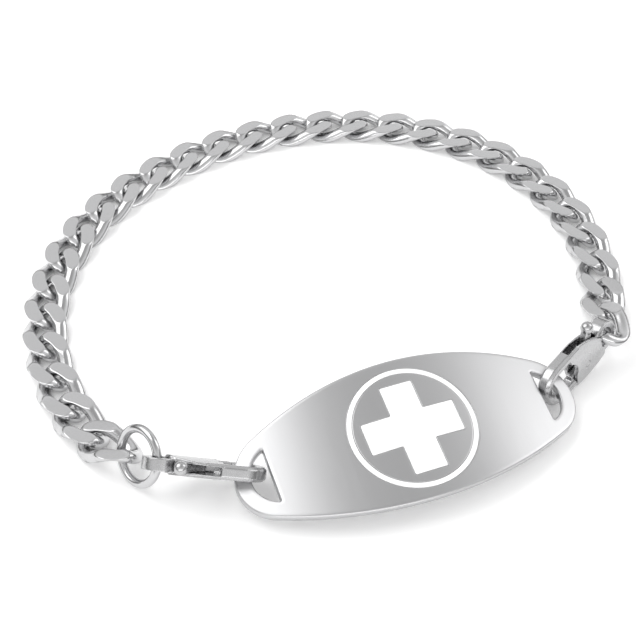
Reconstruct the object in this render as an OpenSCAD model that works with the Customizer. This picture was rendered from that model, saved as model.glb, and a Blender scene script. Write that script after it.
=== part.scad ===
// Medical alert bracelet: a curved oval identity plate, closed into a loop by a
// flat-filed curb chain, a jump ring and two lobster clasps.
// The bracelet lies closed on the surface z = 0. +Z is up, -Y is the side of the
// plate, and the origin is under the middle of the whole loop. Lengths in mm.

/* [Plate] */
// Length of the oval identity plate, straight from tip to tip
plate_length = 39.6; // [34:0.1:44]
// Height of the plate, across its middle
plate_height = 16.8; // [15:0.1:19]
// Thickness of the plate's sheet
plate_thickness = 1.0; // [0.8:0.05:1.2]
// Radius of the rounded ends of the plate's outline
plate_end_radius = 5.1; // [4.2:0.1:6]
// Radius to which the plate is bent along its length, at its front face
plate_bend_radius = 72; // [60:1:120]
// Width of the bar left outside the slot at each end
end_bar = 1.75; // [1.4:0.05:2]
// Distance from the plate's middle to the straight side of each slot
slot_reach = 15.9; // [15:0.1:16.4]

/* [Emblem] */
// Outer diameter of the white ring round the emblem
emblem_diameter = 14.4; // [12:0.1:15]
// Width of the white ring
emblem_border = 0.65; // [0.4:0.05:1]
// Length of the plain cross from arm end to arm end
cross_span = 10.8; // [8:0.1:11.2]
// Width of each arm of the cross
cross_arm = 3.8; // [2.5:0.1:4.2]
// Depth of the shallow bed that the white filling lies in
emblem_depth = 0.2; // [0.15:0.01:0.3]

/* [Chain] */
// Distance from one link to the next along the chain
link_pitch = 5.03; // [4.98:0.01:5.06]
// Overall width of a link
link_width = 5.5; // [5.4:0.05:5.6]
// Width of the link's wire, seen from above at the link's middle
wire_width = 1.8; // [1.7:0.05:1.85]
// Thickness of the link's wire before its faces are filed flat
wire_height = 1.4; // [1.3:0.05:1.45]
// Height of the chain between its two filed faces
chain_height = 1.9; // [1.8:0.05:2]
// Tilt of the wire's flat sides at each end of a link, in degrees
link_tilt = 30; // [24:1:34]
// Rise and fall of the wire's middle round the link
link_rise = 0.95; // [0.9:0.01:1]
// Play between the ends of neighbouring links
link_play = 0.4; // [0.34:0.02:0.46]
// Wider spacing of the three joins at each end, where the clasps pull the chain tight
end_pull = 0.3; // [0.2:0.02:0.32]

/* [Loop] */
// Half the loop's width, across its narrower way
loop_half_width = 33; // [32.5:0.1:33.5]
// Depth of the loop from its middle to the back
loop_back = 37.6; // [37:0.1:38]
// Depth of the loop from its middle to the front
loop_front = 32.7; // [32:0.1:33.2]
// Turn of the loop's longer way from straight back, in degrees
loop_turn = -39.5; // [-41:0.5:-38]
// Place on the loop of the first crossing of two links, in degrees
loop_start = 259.2; // [258:0.1:260]

/* [Jump ring] */
// Outer diameter of the jump ring
ring_diameter = 7.0; // [6.6:0.1:7.4]
// Thickness of the jump ring's wire
ring_wire = 1.0; // [0.8:0.05:1.1]

/* [Clasps] */
// Length of a lobster clasp from its eye to its far end
clasp_length = 13.2; // [12.8:0.1:14]
// Thickness of a clasp's body at its middle
clasp_thickness = 2.1; // [1.9:0.05:2.3]
// Diameter of the hole in the clasp's eye
eye_hole = 2.3; // [2.1:0.05:2.4]
// Outer diameter of the clasp's eye
eye_diameter = 3.9; // [3.7:0.05:4.1]
// Diameter of the clasp's pin
pin_diameter = 0.7; // [0.5:0.05:0.8]
// Width of the hook's bar, seen on the clasp's side
hook_bar = 1.2; // [1:0.05:1.3]
// Width of the lever's finger, seen on the clasp's side
finger_bar = 0.85; // [0.7:0.05:1]
// Height of the hook's bar, across the clasp's thickness
hook_height = 1.6; // [1.3:0.05:1.8]
// Radius of the hook's round end, to the middle of its bar
hook_bend = 2.05; // [1.95:0.05:2.2]
// Diameter of the round knob that the thumb pulls
knob_diameter = 1.5; // [1.2:0.05:1.7]

/* [Hidden] */
$fn = 96;
play = 0.04;                 // gap kept between pieces that fit together
links = 29;                  // links in the chain

// Places in the plan: [x, y, z] and turns about x, y and z in degrees.
// The bracelet was laid down by hand, so its plate leans and its ends are loose.
loop_middle = [-1.03, -2.63];          // middle of the loop's two half ovals
plate_place = [9.19, -25.85, 5.18];    // middle of the plate's front face
plate_turn = [13.4, 0, 20.6];          // leans back 13.4 degrees
left_clasp_place = [-19.457, -30.399, 4.814];   // the tip of the left clasp's eye
left_clasp_turn = [-46.49, 11.58, 1.92];
right_clasp_place = [32.88, -9.638, 4.436];   // the tip of the right clasp's eye
right_clasp_turn = [-79.17, 10.52, -132.25];
ring_place = [-20.045, -28.446, 3.351];      // middle of the jump ring
ring_turn = [34.7, -55.5, 0];
// links that lie a little off the loop: number, move, and tip about the link's own axes
loose_links = [[1, [0.055, 0.275, 0.733], [3.38, 11.38, 7.32]],
               [2, [-0.077, 0.112, 0.164], [0.34, 2.46, 0.82]],
               [28, [-0.097, 0.051, 0.769], [7.91, -9.42, 0.47]],
               [29, [0.418, 0.123, 1.914], [24.37, -19.77, 11.84]]];

// Plate outline: an oval of four arcs, two long and two round the ends
half_l = plate_length / 2;
half_h = plate_height / 2;
end_c = half_l - plate_end_radius;                       // middle of an end arc
side_r = (end_c * end_c + half_h * half_h - plate_end_radius * plate_end_radius)
         / (2 * (half_h - plate_end_radius));            // radius of a long arc

// Link: half its length and half its width, to the middle of the wire
link_a = (link_pitch + wire_width + link_play) / 2;
link_b = (link_width - wire_width) / 2;
link_stations = 24;
wire_sides = 8;

// Clasp outline, as shares of its length
cl = clasp_length / 13.2;
hook_x = clasp_length - hook_bend - hook_bar / 2;   // middle of the hook's round end
hook_y = -0.25 * cl;
pivot = [5.8 * cl, 0.7 * cl, 0];                   // the lever's pin
finger_reach = 3.85 * cl;                           // from the pin to the finger's tip
mouth_gap = 2 * play;
mouth_start = 9.3 * cl;                            // the hook's run back stops past here

// The plate

module oval(inset) {
    r = side_r - inset;
    joint_x = end_c * r / (side_r - plate_end_radius);
    intersection() {
        translate([0, half_h - side_r]) circle(r = r);
        translate([0, side_r - half_h]) circle(r = r);
        square([2 * joint_x, plate_height], center = true);
    }
    for (side = [-1, 1])
        translate([side * end_c, 0]) circle(r = plate_end_radius - inset);
}

module bent_sheet(above, below) {
    // shell between two heights above and below the plate's front face
    translate([0, 0, -plate_bend_radius]) rotate([90, 0, 0]) difference() {
        cylinder(r = plate_bend_radius + above, h = 3 * plate_height, center = true);
        cylinder(r = plate_bend_radius - below, h = 4 * plate_height, center = true);
    }
}

module through_plate() {
    translate([0, 0, -12]) linear_extrude(20) children();
}

module ring_area(clear) {
    difference() {
        circle(d = emblem_diameter - 2 * clear);
        circle(d = emblem_diameter - 2 * emblem_border + 2 * clear);
    }
}

module cross_area(clear) {
    for (turn = [0, 90])
        rotate(turn) square([cross_span - 2 * clear, cross_arm - 2 * clear], center = true);
}

module plate_local() {
    difference() {
        intersection() {
            through_plate() oval(0);
            bent_sheet(0, plate_thickness);
        }
        for (side = [-1, 1])
            through_plate() intersection() {
                oval(end_bar);
                translate([side * (slot_reach + plate_length / 2), 0])
                    square([plate_length, plate_height], center = true);
            }
        intersection() {
            through_plate() { ring_area(0); cross_area(0); }
            bent_sheet(1, emblem_depth);
        }
    }
}

module emblem_fill() {
    intersection() {
        through_plate() children();
        bent_sheet(0, emblem_depth - play);
    }
}

module on_plate() {
    translate(plate_place) rotate(plate_turn) children();
}

// The chain

function unit(v) = v / norm(v);
function wire_middle(t) = [link_a * cos(t), link_b * sin(t), -link_rise * sin(2 * t)];
function wire_way(t) = unit([-link_a * sin(t), link_b * cos(t), -2 * link_rise * cos(2 * t)]);
// direction across the wire, in the tilted plane of the link at station t
function wire_across(t) = unit(cross(wire_way(t),
    [0, sin(link_tilt * cos(t)), cos(link_tilt * cos(t))]));
// the faces above and below are filed flat
function filed(p) = [p[0], p[1], max(-chain_height / 2, min(chain_height / 2, p[2]))];
function wire_point(t, q) = filed(wire_middle(t)
    + wire_width / 2 * cos(q) * wire_across(t)
    + wire_height / 2 * sin(q) * cross(wire_way(t), wire_across(t)));

module link() {
    n = link_stations;
    m = wire_sides;
    polyhedron(
        points = [for (i = [0 : n - 1], j = [0 : m - 1]) wire_point(i * 360 / n, (j + 0.5) * 360 / m)],
        faces = [for (i = [0 : n - 1], j = [0 : m - 1], half = [0, 1])
            let (a = i * m + j, b = (i + 1) % n * m + j,
                 c = (i + 1) % n * m + (j + 1) % m, d = i * m + (j + 1) % m)
            half == 0 ? [a, b, c] : [a, c, d]],
        convexity = 4);
}

// The loop: two half ovals, one deeper than the other, walked link by link
function loop_depth(u) = sin(u) > 0 ? loop_back : loop_front;
function turned(p, a) = [p[0] * cos(a) - p[1] * sin(a), p[0] * sin(a) + p[1] * cos(a)];
function loop_point(u) = loop_middle
    + turned([loop_half_width * cos(u), loop_depth(u) * sin(u)], loop_turn);
function loop_speed(u) = norm([loop_half_width * sin(u), loop_depth(u) * cos(u)]) * PI / 180;
function advance(u, way, steps = 8) = steps == 0 ? u
    : advance(u - way / steps / loop_speed(u - way / steps / loop_speed(u) / 2),
              way - way / steps, steps - 1);
// loop angle of each link's middle
link_at = [for (u = advance(loop_start, -link_pitch / 2 - 3 * end_pull), i = 0; i < links;
                u = advance(u, link_pitch + (i < 3 || i > links - 5 ? end_pull : 0)), i = i + 1) u];

module chain_link(number) {
    u = link_at[number - 1];
    p = loop_point(u);
    way = turned([loop_half_width * sin(u), -loop_depth(u) * cos(u)], loop_turn);
    loose = [for (row = loose_links) if (row[0] == number) row];
    move = len(loose) > 0 ? loose[0][1] : [0, 0, 0];
    tip = len(loose) > 0 ? loose[0][2] : [0, 0, 0];
    color("silver") translate([p[0], p[1], chain_height / 2] + move)
        rotate([0, 0, atan2(way[1], way[0])]) rotate(tip) link();
}

// The clasps

module hook_section(side, bar = hook_bar) {
    // section of the hook's bar, its edges eased, with its middle at side
    w = bar / 2;
    h = hook_height / 2;
    e = 0.55 * w;
    polygon([[side - w, -h + e], [side - w + e, -h], [side + w - e, -h], [side + w, -h + e],
             [side + w, h - e], [side + w - e, h], [side - w + e, h], [side - w, h - e]]);
}

module hook_run(y, x0, x1, bar = hook_bar) {
    // straight run of the hook's bar along the clasp
    translate([x0, y, 0]) rotate([90, 0, 90]) linear_extrude(x1 - x0) hook_section(0, bar);
}

module clasp_body_local() {
    half = clasp_thickness / 2;
    difference() {
        union() {
            intersection() {
                union() {
                    intersection() {
                        translate([8.0 * cl, hook_y + 4.85 * cl, -3]) cylinder(r = 7.5 * cl, h = 6);
                        translate([2.5 * cl, -3.2 * cl, -3]) cube([5.9 * cl, 4.4 * cl, 6]);
                    }
                    intersection() {
                        translate([5.6 * cl, -2.7 * cl, -3]) cylinder(r = 5.9 * cl, h = 6);
                        translate([2.5 * cl, -0.5 * cl, -3]) cube([5.4 * cl, 4.5 * cl, 6]);
                    }
                    translate([eye_diameter / 2, 0, -0.7]) cylinder(d = eye_diameter, h = 1.4);
                }
                translate([-1, 0, half - 9]) rotate([0, 90, 0]) cylinder(r = 9, h = 16);
                translate([-1, 0, 9 - half]) rotate([0, 90, 0]) cylinder(r = 9, h = 16);
            }
            // the hook: the arm's run, the round end, and the run back to the mouth
            hook_run(hook_y - hook_bend, 6.6 * cl, hook_x);
            translate([hook_x, hook_y, 0]) rotate([0, 0, -90]) rotate_extrude(angle = 180)
                hook_section(hook_bend);
            hook_run(hook_y + hook_bend, mouth_start, hook_x);
        }
        // the mouth: an arc about the lever's pin, which the finger's tip just clears
        intersection() {
            translate(pivot + [0, 0, -3]) cylinder(r = finger_reach + mouth_gap, h = 6);
            translate([mouth_start - 1, hook_y + hook_bend - 0.8 * hook_bar, -3]) cube([2, 2 * hook_bar, 6]);
        }
        // the eye's hole
        translate([eye_diameter / 2, 0, -3]) cylinder(d = eye_hole, h = 6);
        // the opening of the hook
        translate([hook_x - 1.55 * cl, hook_y, -3]) cylinder(r = hook_bend - hook_bar / 2 - 0.06, h = 6);
        // the housing's end, where the lever's finger comes out
        translate([7.9 * cl, -0.2 * cl, -3]) cube([mouth_start - 7.9 * cl, 3.6, 6]);
        // the slit that the lever swings in
        translate([3.3 * cl, -4, -0.45]) cube([4.9 * cl, 6.4, 0.9]);
        // the pin's hole
        translate(pivot + [0, 0, -3]) cylinder(d = pin_diameter + 2 * play, h = 6);
    }
}

module clasp_lever_local() {
    difference() {
        union() {
            translate(pivot + [0, 0, -0.4]) cylinder(d = 2 * cl, h = 0.8);
            // tongue inside the housing, and the finger across the mouth
            translate([5.8 * cl, 0.9 * cl, -0.4]) cube([2.6 * cl, 0.8 * cl, 0.8]);
            intersection() {
                hook_run(hook_y + hook_bend + (hook_bar - finger_bar) / 2, 8.02 * cl, hook_x, finger_bar);
                translate(pivot + [0, 0, -3]) cylinder(r = finger_reach, h = 6);
            }
            // arm down to the knob
            translate([0, 0, -0.4]) linear_extrude(0.8)
                polygon([[5.1 * cl, 1.2 * cl], [6.3 * cl, 0.1 * cl],
                         [4.5 * cl, -3.2 * cl], [3.6 * cl, -2.85 * cl]]);
            translate([3.95 * cl, -3.05 * cl, 0]) sphere(d = knob_diameter);
        }
        translate(pivot + [0, 0, -3]) cylinder(d = pin_diameter + 4 * play, h = 6);
    }
}

module clasp_pin_local() {
    translate(pivot + [0, 0, -clasp_thickness / 2 + 0.1])
        cylinder(d = pin_diameter, h = clasp_thickness - 0.2);
}

module on_left() {
    translate(left_clasp_place) rotate(left_clasp_turn) children();
}

module on_right() {
    translate(right_clasp_place) rotate(right_clasp_turn) children();
}

// One module for each piece

module plate() { color("lightgray") on_plate() plate_local(); }
module emblem_ring() { color("white") on_plate() emblem_fill() ring_area(play); }
module emblem_cross() { color("white") on_plate() emblem_fill() cross_area(play); }
module jump_ring() {
    color("silver") translate(ring_place) rotate(ring_turn)
        rotate_extrude() translate([(ring_diameter - ring_wire) / 2, 0]) circle(d = ring_wire);
}
module left_clasp_body() { color("silver") on_left() clasp_body_local(); }
module left_clasp_lever() { color("silver") on_left() clasp_lever_local(); }
module left_clasp_pin() { color("silver") on_left() clasp_pin_local(); }
module right_clasp_body() { color("silver") on_right() clasp_body_local(); }
module right_clasp_lever() { color("silver") on_right() clasp_lever_local(); }
module right_clasp_pin() { color("silver") on_right() clasp_pin_local(); }

module link_01() { chain_link(1); }
module link_02() { chain_link(2); }
module link_03() { chain_link(3); }
module link_04() { chain_link(4); }
module link_05() { chain_link(5); }
module link_06() { chain_link(6); }
module link_07() { chain_link(7); }
module link_08() { chain_link(8); }
module link_09() { chain_link(9); }
module link_10() { chain_link(10); }
module link_11() { chain_link(11); }
module link_12() { chain_link(12); }
module link_13() { chain_link(13); }
module link_14() { chain_link(14); }
module link_15() { chain_link(15); }
module link_16() { chain_link(16); }
module link_17() { chain_link(17); }
module link_18() { chain_link(18); }
module link_19() { chain_link(19); }
module link_20() { chain_link(20); }
module link_21() { chain_link(21); }
module link_22() { chain_link(22); }
module link_23() { chain_link(23); }
module link_24() { chain_link(24); }
module link_25() { chain_link(25); }
module link_26() { chain_link(26); }
module link_27() { chain_link(27); }
module link_28() { chain_link(28); }
module link_29() { chain_link(29); }

plate();
emblem_ring();
emblem_cross();
link_01();
link_02();
link_03();
link_04();
link_05();
link_06();
link_07();
link_08();
link_09();
link_10();
link_11();
link_12();
link_13();
link_14();
link_15();
link_16();
link_17();
link_18();
link_19();
link_20();
link_21();
link_22();
link_23();
link_24();
link_25();
link_26();
link_27();
link_28();
link_29();
jump_ring();
left_clasp_body();
left_clasp_lever();
left_clasp_pin();
right_clasp_body();
right_clasp_lever();
right_clasp_pin();
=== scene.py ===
# %% [markdown]
# # A medical alert bracelet
#
# The bracelet lies closed on a white table. A curved oval plate is joined by two lobster clasps
# and a jump ring to a flat-filed curb chain. Everything is polished or satin steel, except for
# the white enamel emblem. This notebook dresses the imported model: it loads it as a fixed frame,
# sets the camera, makes smooth pieces over the coarse solids, and gives each finish a material.

import math

import bmesh
import bpy
import numpy as np
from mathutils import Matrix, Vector
from mathutils.geometry import delaunay_2d_cdt


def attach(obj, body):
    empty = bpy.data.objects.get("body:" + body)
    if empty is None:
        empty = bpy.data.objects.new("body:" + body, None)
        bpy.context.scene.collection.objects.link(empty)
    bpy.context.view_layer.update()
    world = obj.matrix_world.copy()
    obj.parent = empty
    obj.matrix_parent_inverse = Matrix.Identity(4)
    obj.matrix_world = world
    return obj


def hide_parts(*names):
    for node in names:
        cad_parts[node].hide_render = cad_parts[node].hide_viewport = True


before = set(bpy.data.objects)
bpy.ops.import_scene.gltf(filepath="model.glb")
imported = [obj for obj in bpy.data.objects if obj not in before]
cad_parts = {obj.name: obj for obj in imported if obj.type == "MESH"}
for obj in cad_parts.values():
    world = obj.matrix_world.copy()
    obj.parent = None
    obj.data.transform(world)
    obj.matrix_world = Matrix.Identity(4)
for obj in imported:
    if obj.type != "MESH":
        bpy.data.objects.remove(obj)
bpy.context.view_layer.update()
MM = 0.001

# %% [markdown]
# ## The camera
#
# The camera looks down at 45 degrees from the plate's side. A short telephoto lens keeps the
# chain's far side only a little smaller than its near side. Its focal length was fitted to the
# plate's outline and the spacing of the links, in pixels of the picture, and the sensor's width
# turns those pixels into millimetres.

# %% Place the camera
CAMERA_PLACE = (-0.78, -116.1, 111.5)
CAMERA_LOOKS_DOWN = math.radians(45.0)
SENSOR_WIDTH = 36.0
PICTURE_PIXELS = 640.0
FOCAL_PIXELS = 1300.0
camera_data = bpy.data.cameras.new("camera")
camera_data.sensor_width = SENSOR_WIDTH
camera_data.lens = SENSOR_WIDTH * FOCAL_PIXELS / PICTURE_PIXELS
camera_data.clip_start = 0.001
camera = bpy.data.objects.new("camera", camera_data)
camera.location = Vector(CAMERA_PLACE) * MM
camera.rotation_euler = (math.pi / 2 - CAMERA_LOOKS_DOWN, 0.0, 0.0)
bpy.context.scene.collection.objects.link(camera)
bpy.context.scene.camera = camera
bpy.context.scene.view_settings.view_transform = "Standard"  # so that a white table stays white
print("lens", round(camera_data.lens, 2), "mm")

# %% [markdown]
# ## Small helpers
#
# Every new piece is a grid or a set of arrays worked out with numpy. One helper turns arrays into a
# mesh object at the origin, and another merges and smooths it. The last two read the corners of a
# solid of the frame and find its middle and its own directions, which is how a smooth piece takes
# the exact place of the solid that it stands for.


# %% Turn arrays into a piece
def new_piece(name, points_mm, faces):
    """A mesh object at the origin, from corner places in mm and faces as rows of corner numbers."""
    mesh = bpy.data.meshes.new(name)
    mesh.from_pydata((np.asarray(points_mm) * MM).tolist(), [], faces)
    piece = bpy.data.objects.new(name, mesh)
    bpy.context.scene.collection.objects.link(piece)
    return piece


def close_and_smooth(piece, crease_degrees=35.0, merge_mm=0.0005):
    """Merges doubled corners, points every face outwards and keeps only real creases sharp."""
    work = bmesh.new()
    work.from_mesh(piece.data)
    bmesh.ops.remove_doubles(work, verts=work.verts, dist=merge_mm * MM)
    bmesh.ops.recalc_face_normals(work, faces=work.faces)
    work.to_mesh(piece.data)
    work.free()
    piece.data.shade_smooth()
    piece.data.set_sharp_from_angle(angle=math.radians(crease_degrees))


# %% Read a solid of the frame
def solid_corners(node):
    """The different corner places of a solid of the frame, in mm."""
    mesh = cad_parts[node].data
    flat = np.zeros(len(mesh.vertices) * 3, np.float32)
    mesh.vertices.foreach_get("co", flat)
    return np.unique(np.round(flat.reshape(-1, 3) / MM, 3), axis=0)


def own_axes(node):
    """Middle and three principal directions of a solid, longest first, as a right-handed set."""
    corners = solid_corners(node)
    middle = corners.mean(axis=0)
    axes = np.linalg.svd(corners - middle, full_matrices=False)[2]
    axes[2] *= np.sign(np.linalg.det(axes))
    return middle, axes


print("first link's middle:", own_axes("link_01")[0].round(2))

# %% [markdown]
# ## The chain
#
# A curb chain's link is an oval of thick wire that has been twisted, so that the links lie flat
# beside each other. Then the whole chain is filed on both faces, which leaves the bright flat
# lands that make this chain look like a ribbon. A torus with a bend modifier would give the twist
# but not the lands, so each link is a grid: one way round the oval, and one way round the wire.
# The columns of the grid are set exactly on the edges of the two filed lands and crowd towards
# them, because the chain was tumbled after it was filed and the lands' edges are a little round.

# %% Sizes of a link, in mm
LINK_PITCH = 5.03
LINK_PLAY = 0.4  # between the ends of neighbouring links
LINK_WIDTH = 5.5
WIRE_WIDTH = 1.8
WIRE_HEIGHT = 1.4
WIRE_SHARE = 0.97  # runs between the corners and the flats of the solid's eight-sided wire
LINK_HALF_LENGTH = (LINK_PITCH + WIRE_WIDTH + LINK_PLAY) / 2  # to the middle of the wire
LINK_HALF_WIDTH = (LINK_WIDTH - WIRE_WIDTH) / 2
LINK_RISE = 0.95  # rise and fall of the wire's middle
LINK_TILT = math.radians(30.0)  # tilt of the wire's section at the link's ends
LINK_WIRE = (WIRE_WIDTH * WIRE_SHARE, WIRE_HEIGHT * WIRE_SHARE)
CHAIN_HEIGHT = 1.9
LAND = CHAIN_HEIGHT / 2  # height of the filed lands above and below the middle
LAND_EDGE = 0.045  # how softly a land's edge turns over
NARROWEST_LAND = 0.9995  # the cosine of its half angle, so that its columns never fall together
print("half a link, to the middle of its wire:", round(LINK_HALF_LENGTH, 3), "by", LINK_HALF_WIDTH)


# %% Helpers for the wire's grid
def rows_unit(v):
    """Each row divided by its own length."""
    return v / np.linalg.norm(v, axis=-1, keepdims=True)


def pressed(height, level):
    """Heights filed down to a level: level - edge * log(1 + e^x), where x is how many edges deep
    a height lies below it. A height well below stays as it is, and one well above becomes the
    level."""
    return level - LAND_EDGE * np.logaddexp(0, (level - height) / LAND_EDGE)


def crowded(count):
    """Shares (1 - cos(pi k / count)) / 2: from 0 to just under 1, crowded towards both ends."""
    return (1 - np.cos(np.pi * np.arange(count) / count)) / 2


print("0, 0.9 and 1.2 mm high, after filing:", pressed(np.array([0, 0.9, 1.2]), LAND).round(3))


# %% Work out one link in its own axes
def link_grid(stations=96, land_columns=8, side_columns=10):
    """Corners of a link. The wire's middle runs round an oval and rises and falls twice:
    (a cos t, b sin t, -r sin 2t). Across it lies an oval section, tilted at the link's two ends.
    What reaches past the two lands is pressed onto them, as if a file had cut it."""
    t = np.linspace(0, 2 * np.pi, stations, endpoint=False)
    a, b = LINK_HALF_LENGTH, LINK_HALF_WIDTH
    middle = np.stack([a * np.cos(t), b * np.sin(t), -LINK_RISE * np.sin(2 * t)], axis=1)
    rise = -2 * LINK_RISE * np.cos(2 * t)
    way = rows_unit(np.stack([-a * np.sin(t), b * np.cos(t), rise], axis=1))
    tilt = LINK_TILT * np.cos(t)
    lean = np.stack([0 * t, np.sin(tilt), np.cos(tilt)], axis=1)
    across = rows_unit(np.cross(way, lean))
    up = np.cross(way, across)
    # height of the section as one cosine: middle + reach * cos(q - top)
    h_across, h_up = LINK_WIRE[0] / 2 * across[:, 2], LINK_WIRE[1] / 2 * up[:, 2]
    reach, top = np.hypot(h_across, h_up), np.arctan2(h_up, h_across)
    cut_top = np.arccos(np.clip((LAND - middle[:, 2]) / reach, -1, NARROWEST_LAND))
    cut_low = np.arccos(np.clip((LAND + middle[:, 2]) / reach, -1, NARROWEST_LAND))
    ends = np.stack([top - cut_top, top + cut_top, top + np.pi - cut_low, top + np.pi + cut_low,
                     top - cut_top + 2 * np.pi], axis=1)
    counts = [land_columns, side_columns, land_columns, side_columns]
    q = np.concatenate([ends[:, [k]] + (ends[:, [k + 1]] - ends[:, [k]]) * crowded(n)
                        for k, n in enumerate(counts)], axis=1)
    points = (middle[:, None] + LINK_WIRE[0] / 2 * np.cos(q)[..., None] * across[:, None]
              + LINK_WIRE[1] / 2 * np.sin(q)[..., None] * up[:, None])
    points[..., 2] = -pressed(-pressed(points[..., 2], LAND), LAND)
    return points


def closed_grid_faces(rows, columns):
    """Four-cornered faces of a grid that closes on itself both ways."""
    i, j = np.meshgrid(np.arange(rows), np.arange(columns), indexing="ij")
    i2, j2 = (i + 1) % rows, (j + 1) % columns
    return np.stack([i * columns + j, i2 * columns + j, i2 * columns + j2, i * columns + j2],
                    axis=-1).reshape(-1, 4).tolist()


link_points = link_grid()
link_faces = closed_grid_faces(*link_points.shape[:2])
print("one link:", link_points.shape[:2], "grid,", 2 * len(link_faces), "triangles")

# %% [markdown]
# ### The row of links
#
# The frame's solid links already lie as the chain does, each one rolled and turned in its own way.
# A list of places and turns could be written again here, but a smooth link that takes them from its
# solid can't drift away from it.

# %% Lay a smooth link over each solid link
chain = []
for node in [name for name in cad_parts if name.startswith("link_")]:
    middle, axes = own_axes(node)
    link = new_piece(f"filed_{node}", middle + link_points.reshape(-1, 3) @ axes, link_faces)
    close_and_smooth(link, crease_degrees=60.0)
    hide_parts(node)
    chain.append(link)
print("links:", len(chain))

# %% [markdown]
# ## The jump ring
#
# A jump ring is one turn of round wire. Its surface is a circle carried round a circle, and its
# axis is the direction in which the solid ring is thinnest. Blender's own torus would have to be
# turned into place afterwards, but a grid in the ring's own axes lies there at once.


# %% Make the ring
def ring_grid(radius, wire_radius, stations=96, columns=24):
    """A circle of radius r carried round one of radius R in the plane of the first two axes:
    ((R + r cos q) cos t, (R + r cos q) sin t, r sin q)."""
    t, q = np.meshgrid(np.linspace(0, 2 * np.pi, stations, endpoint=False),
                       np.linspace(0, 2 * np.pi, columns, endpoint=False), indexing="ij")
    out = radius + wire_radius * np.cos(q)
    return np.stack([out * np.cos(t), out * np.sin(t), wire_radius * np.sin(q)], axis=-1)


RING_DIAMETER = 7.0
RING_WIRE = 1.0
middle, axes = own_axes("jump_ring")
ring_points = ring_grid((RING_DIAMETER - RING_WIRE) / 2, RING_WIRE / 2)
jump_ring = new_piece("round_jump_ring", middle + ring_points.reshape(-1, 3) @ axes,
                      closed_grid_faces(*ring_points.shape[:2]))
close_and_smooth(jump_ring)
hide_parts("jump_ring")
print("ring axis", np.round(axes[2], 3))

# %% [markdown]
# ## The plate
#
# The plate is punched from sheet about 1 mm thick: an oval of four arcs with a D-shaped slot at
# each end. It is tumbled, so every edge is round, and bent along its length to follow the wrist.
# All of that is easiest in the flat. The outline is an edge profile carried round a closed curve,
# the two faces are filled with triangles between the curves, and one formula then bends it all.

# %% Sizes and outline of the flat plate, in mm
PLATE_HALF = (19.8, 8.4)  # half its length and half its height
END_RADIUS = 5.1
END_MIDDLE = PLATE_HALF[0] - END_RADIUS
SIDE_RADIUS = ((END_MIDDLE**2 + PLATE_HALF[1] ** 2 - END_RADIUS**2)
               / (2 * (PLATE_HALF[1] - END_RADIUS)))
SHEET = 1.0
END_BAR = 1.75  # metal left outside a slot
SLOT_REACH = 15.9  # from the plate's middle to a slot's straight side


def oval_curve(inset, count=480):
    """The oval moved in by inset. A point of it is named by the direction it faces: where that
    lies within the end arcs, the point is end middle + end radius * direction, and elsewhere it is
    the far arc's middle + its radius * direction."""
    joint = math.atan2(SIDE_RADIUS - PLATE_HALF[1], END_MIDDLE)
    share = count // 4
    ends = np.linspace(-joint, joint, share, endpoint=False)
    sides = np.linspace(joint, np.pi - joint, share, endpoint=False)
    face = np.concatenate([ends, sides, ends + np.pi, sides + np.pi])
    way = np.stack([np.cos(face), np.sin(face)], axis=1)
    on_end = np.abs(way[:, 0]) > math.cos(joint) - 1e-9
    centre = np.where(on_end[:, None], [[END_MIDDLE, 0]] * np.sign(way[:, :1]),
                      np.sign(way[:, 1:]) * [[0, PLATE_HALF[1] - SIDE_RADIUS]])
    radius = np.where(on_end, END_RADIUS, SIDE_RADIUS) - inset
    return centre + radius[:, None] * way


print("half the oval:", oval_curve(0.0).max(axis=0).round(2).tolist())


# %% Helpers for curves
def even_curve(curve, spacing):
    """The closed curve again, with its points the same distance apart: places are read off along
    the length that the curve has run."""
    closed = np.vstack([curve, curve[:1]])
    run = np.concatenate([[0], np.cumsum(np.linalg.norm(np.diff(closed, axis=0), axis=1))])
    count = int(round(run[-1] / spacing))
    at = np.linspace(0, run[-1], count, endpoint=False)
    return np.stack([np.interp(at, run, closed[:, k]) for k in (0, 1)], axis=1)


def soft_corners(curve, reach):
    """The curve with its corners rounded: each point becomes the mean of its neighbours, as many
    to each side as reach says."""
    return np.mean([np.roll(curve, k, axis=0) for k in range(-reach, reach + 1)], axis=0)


def outward(curve):
    """Unit directions square to the curve, to its right as it runs: the step from the last point
    to the next one, turned a quarter."""
    run = np.roll(curve, -1, axis=0) - np.roll(curve, 1, axis=0)
    return rows_unit(np.stack([run[:, 1], -run[:, 0]], axis=1))


square = np.array([[1, 1], [-1, 1], [-1, -1], [1, -1]])
print("a square's corners, softened:", soft_corners(square, reach=1).round(2).tolist())

# %% Outline and slots
OUTLINE_STEP = 0.3
SLOT_STEP = 0.06


def slot_curve(side):
    """The D-shaped slot of one end: the inner oval beyond a straight line, corners softened."""
    inner = oval_curve(END_BAR, count=1600)  # a fine oval, as only its end is kept
    inner = inner[np.argsort(np.arctan2(inner[:, 1], inner[:, 0] - SLOT_REACH))]
    arc = inner[inner[:, 0] > SLOT_REACH]
    return soft_corners(even_curve(arc, SLOT_STEP), reach=3) * [side, 1]


outline = even_curve(oval_curve(0.0), OUTLINE_STEP)
slots = [slot_curve(+1), slot_curve(-1)[::-1]]
print("outline points", len(outline), "slot points", [len(s) for s in slots])

# %% [markdown]
# ### Round edges
#
# A tumbled edge is a quarter circle in section. A bevel modifier would have to guess which edges to
# take, so the profile of the edge is written down and carried round each curve instead.


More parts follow.
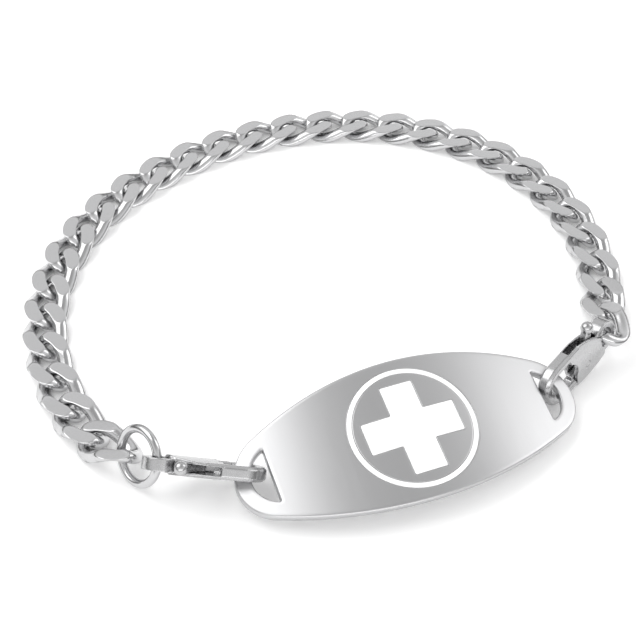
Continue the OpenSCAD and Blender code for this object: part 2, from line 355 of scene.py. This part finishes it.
# %% Carry an edge profile round a curve
def edge_profile(radius, depth, steps=5):
    """The edge as seen in section: how far in from the curve, and how deep below the front face.
    It leaves the front face, turns a quarter round as radius * (1 - sin, 1 - cos), runs down the
    wall and turns in below."""
    turn = np.linspace(0, np.pi / 2, steps)
    start = 2.2 * radius  # a narrow strip of the face keeps the round's shading to itself
    into = np.concatenate([[start], radius * (1 - np.sin(turn))])
    down = np.concatenate([[0], radius * (1 - np.cos(turn))])
    return (np.concatenate([into, into[::-1]]), np.concatenate([down, depth - down[::-1]]))


def carried(curve, into, down, sign):
    """Corner grid of a profile carried round a closed curve: each point moves square to the curve
    by the profile's reach, and down by its depth. The metal lies to the left of the curve as it
    runs where sign is 1, and to its right where sign is -1."""
    flat = curve[None] - sign * into[:, None, None] * outward(curve)[None]
    depth = np.broadcast_to(-down[:, None, None], flat.shape[:2] + (1,))
    return np.concatenate([flat, depth], axis=2)


def strip_faces(rows, columns):
    """Faces between the rows of a grid that closes along its rows."""
    i, j = np.meshgrid(np.arange(rows - 1), np.arange(columns), indexing="ij")
    j2 = (j + 1) % columns
    return np.stack([i * columns + j, i * columns + j2, (i + 1) * columns + j2,
                     (i + 1) * columns + j], axis=-1).reshape(-1, 4)


def carried_rims(rims, into, down):
    """A profile carried round several curves: its parts, and the curves it starts and ends on."""
    grids = [carried(curve, into, down, sign) for curve, sign in rims]
    parts = [(grid.reshape(-1, 3), strip_faces(*grid.shape[:2])) for grid in grids]
    return parts, [grid[0, :, :2] for grid in grids], [grid[-1, :, :2] for grid in grids]


EDGE_ROUND = 0.2
into, down = edge_profile(EDGE_ROUND, SHEET)
print("edge profile: into", into.round(3), "down", down.round(3))

# %% [markdown]
# ### Filled faces
#
# The faces between the curves are flat before the bend but have slots and beds in them. Blender can
# fill a plain outline as one many-sided face, but such a face can't bend. A triangulation that
# keeps given edges fills them exactly, and a grid of extra points inside lets the face follow the
# bend later.


# %% Tell what lies inside a curve
def in_curve(x, y, curve):
    """True inside a closed curve, by counting the sides that a line to the right crosses."""
    p, q = curve, np.roll(curve, -1, axis=0)
    rises = (p[None, :, 1] > y[:, None]) != (q[None, :, 1] > y[:, None])
    level = np.where(q[:, 1] == p[:, 1], 1e-12, q[:, 1] - p[:, 1])  # a level side isn't crossed
    cross = p[None, :, 0] + (y[:, None] - p[None, :, 1]) * ((q - p)[:, 0] / level)[None]
    return (rises & (cross > x[:, None])).sum(axis=1) % 2 == 1


def within(outer, *holes):
    """The test for places inside one closed curve and outside the others."""
    def inside(x, y):
        """True where a place lies in the outer curve and in none of the holes."""
        found = in_curve(x, y, outer)
        for hole in holes:
            found &= ~in_curve(x, y, hole)
        return found
    return inside


far = 2 * PLATE_HALF[0]
print("inside the outline: the middle and a far point",
      within(outline)(np.array([0, far]), np.zeros(2)))

# %% Fill the faces between curves
FACE_STEP = 0.7
CLEARANCE = 0.5  # grid points keep half a step away from the curves
BATCH = 400  # curve points compared at a time, to spare memory
ALL_TRIANGLES = 0
TOUCHING = 1e-6  # points nearer than this count as one


def filled(curves, inside, depth):
    """Triangles between closed curves. inside(x, y) says which of them belong to the face."""
    reach = np.abs(curves[0]).max(axis=0)
    x, y = np.meshgrid(*(np.arange(-reach[k], reach[k], FACE_STEP) for k in (0, 1)))
    grid = np.stack([x.ravel(), y.ravel()], axis=1)
    clear = inside(grid[:, 0], grid[:, 1])
    every = np.vstack(curves)
    for start in range(0, len(every), BATCH):
        gap = np.linalg.norm(grid[:, None] - every[None, start:start + BATCH], axis=2).min(axis=1)
        clear &= gap > CLEARANCE * FACE_STEP
    edges, first = [], 0
    for curve in curves:
        k = np.arange(len(curve))
        edges.append(np.stack([first + k, first + (k + 1) % len(curve)], axis=1))
        first += len(curve)
    done = delaunay_2d_cdt(np.vstack([every, grid[clear]]).tolist(), np.vstack(edges).tolist(), [],
                           ALL_TRIANGLES, TOUCHING)
    places, faces = np.array(done[0]), np.array(done[2])
    centre = places[faces].mean(axis=1)
    faces = faces[inside(centre[:, 0], centre[:, 1])]
    return np.column_stack([places, np.full(len(places), -depth)]), faces


def joined(parts):
    """Corners and faces of several parts in one list each."""
    rows, first = [], 0
    for points, faces in parts:
        rows += (faces + first).tolist()
        first += len(points)
    return np.vstack([points for points, _ in parts]), rows


print("triangles in the plain oval:", len(filled([outline], within(outline), 0.0)[1]))

# %% [markdown]
# ### The beds of the emblem
#
# White enamel lies in two shallow beds pressed into the plate: a ring, and a plain cross within
# it. A dark line could be painted to hint at a bed's edge, but real walls, as part of the plate's
# piece, catch the light at their rims from every side.

# %% Curves of the emblem
EMBLEM_RADIUS = 7.2
EMBLEM_BORDER = 0.65
CROSS_SPAN = 10.8
CROSS_ARM = 3.8
CROSS_STEP = 0.05
BED = 0.2


def circle_curve(radius, count=240):
    """A circle (r cos t, r sin t), run anticlockwise."""
    t = np.linspace(0, 2 * np.pi, count, endpoint=False)
    return radius * np.stack([np.cos(t), np.sin(t)], axis=1)


def cross_curve(inset):
    """The twelve-cornered outline of the cross moved in by inset, with its corners softened."""
    s, a = CROSS_SPAN / 2 - inset, CROSS_ARM / 2 - inset
    corners = np.array([[s, -a], [s, a], [a, a], [a, s], [-a, s], [-a, a], [-s, a], [-s, -a],
                        [-a, -a], [-a, -s], [a, -s], [a, -a]])
    return soft_corners(even_curve(corners, CROSS_STEP), reach=4)


beds = [(circle_curve(EMBLEM_RADIUS), -1), (circle_curve(EMBLEM_RADIUS - EMBLEM_BORDER), 1),
        (cross_curve(0.0), -1)]
print("bed curves", [len(c) for c, _ in beds])

# %% [markdown]
# ### The bend
#
# A press bends the finished blank round a cylinder. A simple deform modifier could do that too, but
# one formula puts each corner exactly on the solid's own cylinder, however fine the mesh is.

# %% Place the plate: bend it, lean it back and turn it
BEND_RADIUS = 72.0
PLATE_PLACE = np.array([9.19, -25.85, 5.18])
PLATE_LEAN = math.radians(13.4)
PLATE_TURN = math.radians(20.6)


def on_plate(flat):
    """From the flat to the table: a point at depth d lies on a cylinder of the bend radius less d,
    then the plate leans back about x, turns about z and moves to its place."""
    x, y, d = flat[:, 0], flat[:, 1], -flat[:, 2]
    z = np.sqrt((BEND_RADIUS - d) ** 2 - x**2) - BEND_RADIUS
    c, s = math.cos(PLATE_LEAN), math.sin(PLATE_LEAN)
    y, z = y * c - z * s, y * s + z * c
    c, s = math.cos(PLATE_TURN), math.sin(PLATE_TURN)
    return np.stack([x * c - y * s, x * s + y * c, z], axis=1) + PLATE_PLACE


print("front face's middle:", on_plate(np.zeros((1, 3))).round(2).tolist())

# %% [markdown]
# ### The plate put together
#
# The plate is collected in the flat from its rims, the beds' walls and the filled faces. They meet
# in exactly the same points, so one merge of doubled corners closes the piece. Cutting the beds and
# slots out of a solid oval would work too, but would leave long thin faces at the round edges.

# %% Carry the rims and the beds' walls
rims, front, back = carried_rims([(outline, 1)] + [(slot, -1) for slot in slots], into, down)

# a bed's wall has a narrow strip of the face and a small round at its rim, and then runs
# straight down to the bed's floor
BED_ROUND = 0.06
bed_turn = np.linspace(0, np.pi / 2, 4)
bed_into = np.concatenate([[2.5 * BED_ROUND], BED_ROUND * (1 - np.sin(bed_turn)), [0]])
bed_down = np.concatenate([[0], BED_ROUND * (1 - np.cos(bed_turn)), [BED]])
walls, bed_rims, bed_feet = carried_rims(beds, bed_into, bed_down)
print("corners in the rims", sum(len(points) for points, _ in rims),
      "and in the beds' walls", sum(len(points) for points, _ in walls))


# %% Fill the faces and close the plate
def on_front(x, y):
    """The front face: inside the rim, outside the slots, and not over a bed."""
    over_bed = within(*bed_rims[:2])(x, y) | within(bed_rims[2])(x, y)
    return within(*front)(x, y) & ~over_bed


faces = [filled(front + bed_rims, on_front, 0.0),
         filled(back, within(*back), SHEET),
         filled(bed_feet[:2], within(*bed_feet[:2]), BED),
         filled(bed_feet[2:], within(*bed_feet[2:]), BED)]
flat_plate, plate_faces = joined(rims + walls + faces)
plate = new_piece("bent_plate", on_plate(flat_plate), plate_faces)
close_and_smooth(plate, crease_degrees=50.0)
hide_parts("plate")
print("plate faces", len(plate.data.polygons))

# %% [markdown]
# ### The enamel
#
# Enamel is poured into the beds and ground level, and its rim stays a little round. White colour
# on the floors of the beds would lie too deep, so each filling is a thin slab, made just as the
# plate was: a profile round its outline and filled faces.


# %% Fill the two beds
ENAMEL_GAP = 0.04  # clear of the bed's walls and floor, as in the solids
ENAMEL_ROUND = 0.05


def enamel_slab(name, outlines):
    """A slab with round edges between the given curves, flush with the plate."""
    depth = BED - ENAMEL_GAP
    sides, tops, feet = carried_rims(outlines, *edge_profile(ENAMEL_ROUND, depth, steps=4))
    faces = [filled(tops, within(*tops), 0.0), filled(feet, within(*feet), depth)]
    flat_slab, slab_faces = joined(sides + faces)
    slab = new_piece(name, on_plate(flat_slab), slab_faces)
    close_and_smooth(slab, crease_degrees=50.0)
    return slab


enamel_ring = enamel_slab("enamel_ring",
                          [(circle_curve(EMBLEM_RADIUS - ENAMEL_GAP), 1),
                           (circle_curve(EMBLEM_RADIUS - EMBLEM_BORDER + ENAMEL_GAP), -1)])
enamel_cross = enamel_slab("enamel_cross", [(cross_curve(ENAMEL_GAP), 1)])
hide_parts("emblem_ring")
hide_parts("emblem_cross")
print("enamel faces", len(enamel_ring.data.polygons), len(enamel_cross.data.polygons))

# %% [markdown]
# ## The clasps
#
# A lobster clasp's body and lever are each cast in one lump and tumbled until every edge is soft.
# The frame's solids have the right form with hard edges. A bevel would fail where many small faces
# meet, so a merged copy of each is rebuilt with small even faces and then relaxed, which rounds
# edges as tumbling does. The pins are plain and stay as they are.


# %% Tumble a copy of each cast piece
SAME_PLACE = 1e-7  # metres


def tumbled(node, name, grain_mm, passes):
    """A merged copy of a solid, rebuilt in faces of grain_mm and relaxed over passes rounds."""
    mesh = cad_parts[node].data.copy()
    mesh.materials.clear()
    piece = bpy.data.objects.new(name, mesh)
    bpy.context.scene.collection.objects.link(piece)
    work = bmesh.new()
    work.from_mesh(mesh)
    bmesh.ops.remove_doubles(work, verts=work.verts, dist=SAME_PLACE)
    work.to_mesh(mesh)
    work.free()
    remesh = piece.modifiers.new("even faces", "REMESH")
    remesh.mode = "VOXEL"
    remesh.voxel_size = grain_mm * MM
    relax = piece.modifiers.new("relax", "SMOOTH")
    relax.factor = 0.5  # half of the way to the neighbours' middle in each round
    relax.iterations = passes
    shown = piece.evaluated_get(bpy.context.evaluated_depsgraph_get())
    done = bpy.data.meshes.new_from_object(shown)
    piece.modifiers.clear()
    piece.data = done
    done.shade_smooth()
    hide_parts(node)
    return piece


cast = {}
for side in ("left", "right"):
    cast[f"{side}_body"] = tumbled(f"{side}_clasp_body", f"cast_{side}_clasp",
                                   grain_mm=0.058, passes=12)
    cast[f"{side}_lever"] = tumbled(f"{side}_clasp_lever", f"cast_{side}_lever",
                                    grain_mm=0.06, passes=6)
print("cast faces", {k: len(o.data.polygons) for k, o in cast.items()})

# %% [markdown]
# ## Materials
#
# All the metal is stainless steel, and only its finish changes. Colours are written as hex values,
# as a painter would pick them, and one function turns them into the linear numbers that a render
# needs. Another helper adds a node, sets it and links it, and a third starts a material.


# %% Colour and node helpers
def paint(code):
    """An sRGB hex colour as linear red, green, blue and alpha."""
    parts = np.array([int(code[k:k + 2], 16) for k in (1, 3, 5)]) / 255
    linear = np.where(parts <= 0.04045, parts / 12.92, ((parts + 0.055) / 1.055) ** 2.4)
    return (*linear.tolist(), 1.0)


def add(tree, kind, inputs=(), **settings):
    """One new node: settings are its own switches, inputs are numbers or sockets that feed it."""
    node = tree.nodes.new(kind)
    for name, value in settings.items():
        setattr(node, name, value)
    for name, value in dict(inputs).items():
        if isinstance(value, bpy.types.NodeSocket):
            tree.links.new(value, node.inputs[name])
        else:
            node.inputs[name].default_value = value
    return node


def start_material(name):
    """A material with its output node, and the place on the piece in metres."""
    material = bpy.data.materials.new(name)
    material.use_nodes = True
    tree = material.node_tree
    tree.nodes.clear()
    output = add(tree, "ShaderNodeOutputMaterial")
    return material, tree, output, add(tree, "ShaderNodeTexCoord").outputs["Object"]


print("a light grey as a render sees it:", [round(v, 3) for v in paint("#c6c6c7")])

# %% [markdown]
# ### Steel finishes
#
# The plate is satin: a fine belt leaves it a soft, wide gloss with hair lines across it. They are too
# shallow to bend light, so they change only its roughness. The filed chain is buffed, and its lands
# keep a faint grain. The clasps are cast and tumbled, so they are softly bright with slow waves in
# the surface. The ring's wire is drawn through a die, which leaves it the smoothest.
#
# A photographed texture would blur from near, so one recipe makes all four from noise in real
# sizes: how wide the grain is, how deep it is, and how rough the gloss. Real hair lines and grain
# are finer than a pixel of the picture, about 0.12 mm at the plate, so they are drawn coarse enough
# to show. Stainless steel mirrors a little more than half of the light, which is what its grey
# says.


# %% Make the steels
NOISE_RANGE = (0.3, 0.7)  # nearly all values of a noise texture lie between these


def steel(name, colour, rough, grain_mm, depth_mm, wave_mm, wave_depth_mm,
          stretch=(1, 1, 1), turn=0.0):
    """Bare steel: fine grain sets the roughness between two values and raises a slight bump,
    and a slower wave bends the reflections. The grain is stretch times as long along each axis
    of a frame that is turned about z, so that a polishing belt leaves fine lines one way."""
    material, tree, output, place = start_material(name)
    spread = add(tree, "ShaderNodeMapping",
                 {"Vector": place, "Rotation": (0, 0, turn), "Scale": stretch},
                 vector_type="TEXTURE").outputs["Vector"]
    grain = add(tree, "ShaderNodeTexNoise",
                {"Vector": spread, "Scale": 1 / (grain_mm * MM), "Detail": 3.0})
    wave = add(tree, "ShaderNodeTexNoise",
               {"Vector": place, "Scale": 1 / (wave_mm * MM), "Detail": 1.0})
    gloss = add(tree, "ShaderNodeMapRange",
                {"Value": grain.outputs["Fac"], "From Min": NOISE_RANGE[0],
                 "From Max": NOISE_RANGE[1], "To Min": rough[0], "To Max": rough[1]})
    facing = add(tree, "ShaderNodeBump", {"Height": wave.outputs["Fac"], "Strength": 1.0,
                                          "Distance": wave_depth_mm * MM}).outputs["Normal"]
    if depth_mm > 0:
        facing = add(tree, "ShaderNodeBump",
                     {"Height": grain.outputs["Fac"], "Strength": 1.0, "Distance": depth_mm * MM,
                      "Normal": facing}).outputs["Normal"]
    skin = add(tree, "ShaderNodeBsdfPrincipled", {"Base Color": paint(colour), "Metallic": 1.0,
                                                  "Roughness": gloss.outputs["Result"],
                                                  "Normal": facing})
    tree.links.new(skin.outputs["BSDF"], output.inputs["Surface"])
    return material


satin_steel = steel("satin_stainless_steel", "#c6c6c7", rough=(0.30, 0.34), grain_mm=0.12,
                    depth_mm=0.0, wave_mm=6.0, wave_depth_mm=0.002,
                    stretch=(1, 60, 60), turn=PLATE_TURN)
filed_steel = steel("filed_stainless_steel", "#c6c6c7", rough=(0.15, 0.25), grain_mm=0.3,
                    depth_mm=0.0010, wave_mm=2.5, wave_depth_mm=0.004)
tumbled_steel = steel("tumbled_stainless_steel", "#b8b8b9", rough=(0.22, 0.30), grain_mm=0.4,
                      depth_mm=0.0004, wave_mm=1.6, wave_depth_mm=0.006)
drawn_steel = steel("drawn_stainless_wire", "#c4c4c5", rough=(0.15, 0.21), grain_mm=0.5,
                    depth_mm=0.0004, wave_mm=2.0, wave_depth_mm=0.003)
print("steels", [m.name for m in (satin_steel, filed_steel, tumbled_steel, drawn_steel)])

# %% [markdown]
# ### White enamel
#
# Enamel is coloured glass. Ground and fired again, it is white with a soft gloss and a faint
# unevenness, like the skin of an egg. A painted picture could carry that, but a fine noise in real
# size stays right at any distance.

# %% Make the enamel
SPECK = 0.5  # width of the unevenness, in mm
SPECK_DEPTH = 0.003
white_enamel, tree, output, place = start_material("white_enamel")
speck = add(tree, "ShaderNodeTexNoise",
            {"Vector": place, "Scale": 1 / (SPECK * MM), "Detail": 2.0})
tint = add(tree, "ShaderNodeValToRGB", {"Fac": speck.outputs["Fac"]})
tint.color_ramp.elements[0].color = paint("#f6f6f6")
tint.color_ramp.elements[1].color = paint("#fdfdfd")
egg = add(tree, "ShaderNodeBump",
          {"Height": speck.outputs["Fac"], "Strength": 1.0, "Distance": SPECK_DEPTH * MM})
glass = add(tree, "ShaderNodeBsdfPrincipled",
            {"Base Color": tint.outputs["Color"], "Roughness": 0.28, "IOR": 1.5,
             "Normal": egg.outputs["Normal"]})
tree.links.new(glass.outputs["BSDF"], output.inputs["Surface"])
print("enamel nodes", len(tree.nodes))

# %% [markdown]
# ### Who wears what
#
# Each piece gets its material and the body that carries it, so that a lever's smooth copy turns
# with the lever. The solids of the frame are dressed too, because the two pins are seen as they
# are.

# %% Dress every piece and name its body
dressed = []


def dress(piece, material, body="bracelet"):
    """Gives a piece its material and the body that carries it."""
    piece.data.materials.clear()
    piece.data.materials.append(material)
    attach(piece, body)
    dressed.append(piece.name)


for link in chain:
    dress(link, filed_steel)
dress(plate, satin_steel)
dress(enamel_ring, white_enamel)
dress(enamel_cross, white_enamel)
dress(jump_ring, drawn_steel)
for side in ("left", "right"):
    dress(cast[f"{side}_body"], tumbled_steel)
    dress(cast[f"{side}_lever"], tumbled_steel, f"{side}_lever")
for node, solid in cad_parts.items():
    solid.data.materials.clear()
    solid.data.materials.append(white_enamel if node.startswith("emblem") else tumbled_steel)
print("dressed", len(dressed), "pieces and", len(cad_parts), "solids")

# %% [markdown]
# ## The table
#
# The bracelet lies on a plain sheet of white acrylic, finely sanded, that reaches past the picture
# on every side. It is almost matte, so it holds no mirror image, and it glows a little from within,
# which keeps the shadows faint without a second lamp. Its white has faint clouds, as wide as a
# thumb, that break up the evenness.

# %% Table
TABLE_HALF = 900.0
TABLE_TOP = -0.02  # a hair below the bracelet
TABLE_CLOUD = 30.0  # width of the faint clouds in its white
TABLE_GLOW = 0.14
table_corners = [[x * TABLE_HALF, y * TABLE_HALF, TABLE_TOP]
                 for x, y in ((-1, -1), (1, -1), (1, 1), (-1, 1))]
table = new_piece("white_table", table_corners, [[0, 1, 2, 3]])
acrylic, tree, output, place = start_material("white_acrylic")
cloud = add(tree, "ShaderNodeTexNoise",
            {"Vector": place, "Scale": 1 / (TABLE_CLOUD * MM), "Detail": 2.0})
shade = add(tree, "ShaderNodeValToRGB", {"Fac": cloud.outputs["Fac"]})
shade.color_ramp.elements[0].color = paint("#f8f8f8")
shade.color_ramp.elements[1].color = paint("#fbfbfb")
matte = add(tree, "ShaderNodeBsdfPrincipled",
            {"Base Color": shade.outputs["Color"], "Roughness": 0.9, "Specular IOR Level": 0.1,
             "Emission Color": paint("#ffffff"), "Emission Strength": TABLE_GLOW})
tree.links.new(matte.outputs["BSDF"], output.inputs["Surface"])
table.data.materials.append(acrylic)
print("table", 2 * TABLE_HALF, "mm wide")

# %% [markdown]
# ## The light
#
# Polished steel shows what stands round it, so the light is laid out by what each face should
# mirror. A photographed studio could be wrapped round the scene, but a short table of greys by
# height says plainly what every face will show. The chain's lands lie level and mirror the sky
# behind at 45 degrees, which is an even light grey. The plate's middle mirrors the sky nearly
# overhead, which is darker. Near the horizon the studio is darkest, and that draws the dark lines
# in round wire.

# %% Sky
# grey of the sky by the sine of its height above the horizon
SKY = {0.00: 0.07, 0.16: 0.16, 0.34: 0.80, 0.58: 1.00, 0.76: 0.86, 0.93: 0.56, 1.00: 0.50}
world = bpy.data.worlds.new("studio")
bpy.context.scene.world = world
world.use_nodes = True
sky_tree = world.node_tree
sky_way = add(sky_tree, "ShaderNodeTexCoord").outputs["Generated"]
sky_height = add(sky_tree, "ShaderNodeSeparateXYZ", {"Vector": sky_way}).outputs["Z"]
sky_ramp = add(sky_tree, "ShaderNodeValToRGB", {"Fac": sky_height})
stops = sky_ramp.color_ramp.elements
while len(stops) < len(SKY):
    stops.new(0.5)  # moved to its own height below
for stop, (height, grey) in zip(stops, SKY.items()):
    stop.position, stop.color = height, (grey, grey, grey, 1.0)
sky = sky_tree.nodes["Background"]
sky_tree.links.new(sky_ramp.outputs["Color"], sky.inputs["Color"])
print("sky stops", len(stops))

# %% [markdown]
# ### Soft panels
#
# Broad soft boxes stand where the sky alone is not enough. Bright spots in the sky could do the
# same, but a panel's size and place are easier to think of. The plate's two curved ends mirror a
# bright panel on each side, and the front panel lights what faces the camera. The key panel gives
# the shadows their one direction. Only the last link leans back far enough to mirror the dark
# horizon with its land, so a small low card stands behind it.


# %% Set up the panels
def soft_panel(name, place_mm, width_mm, depth_mm, glow, mirrored=True):
    """A rectangle of even light that faces the bracelet. glow is how bright it looks. A panel that
    is not mirrored lights the table and the enamel, and leaves no reflection in the steel. None of
    them shows in the picture itself."""
    light = bpy.data.lights.new(name, "AREA")
    light.shape = "RECTANGLE"
    light.size, light.size_y = width_mm * MM, depth_mm * MM
    light.energy = glow * math.pi * light.size * light.size_y  # the watts that look as bright
    panel = bpy.data.objects.new(name, light)
    panel.location = Vector(place_mm) * MM
    panel.rotation_euler = (-panel.location).to_track_quat("-Z", "Y").to_euler()
    panel.visible_glossy = mirrored
    panel.visible_camera = False
    bpy.context.scene.collection.objects.link(panel)
    print(name, "power", round(light.energy, 3), "W")


soft_panel("left_panel", (-250, 60, 350), width_mm=300, depth_mm=380, glow=2.0)
soft_panel("right_panel", (440, 160, 330), width_mm=230, depth_mm=420, glow=1.5)
soft_panel("front_panel", (0, -330, 110), width_mm=460, depth_mm=120, glow=1.9)
soft_panel("key_panel", (-160, 220, 360), width_mm=260, depth_mm=260, glow=2.1, mirrored=False)
soft_panel("low_card", (25, 66, 11), width_mm=40, depth_mm=16, glow=0.8)
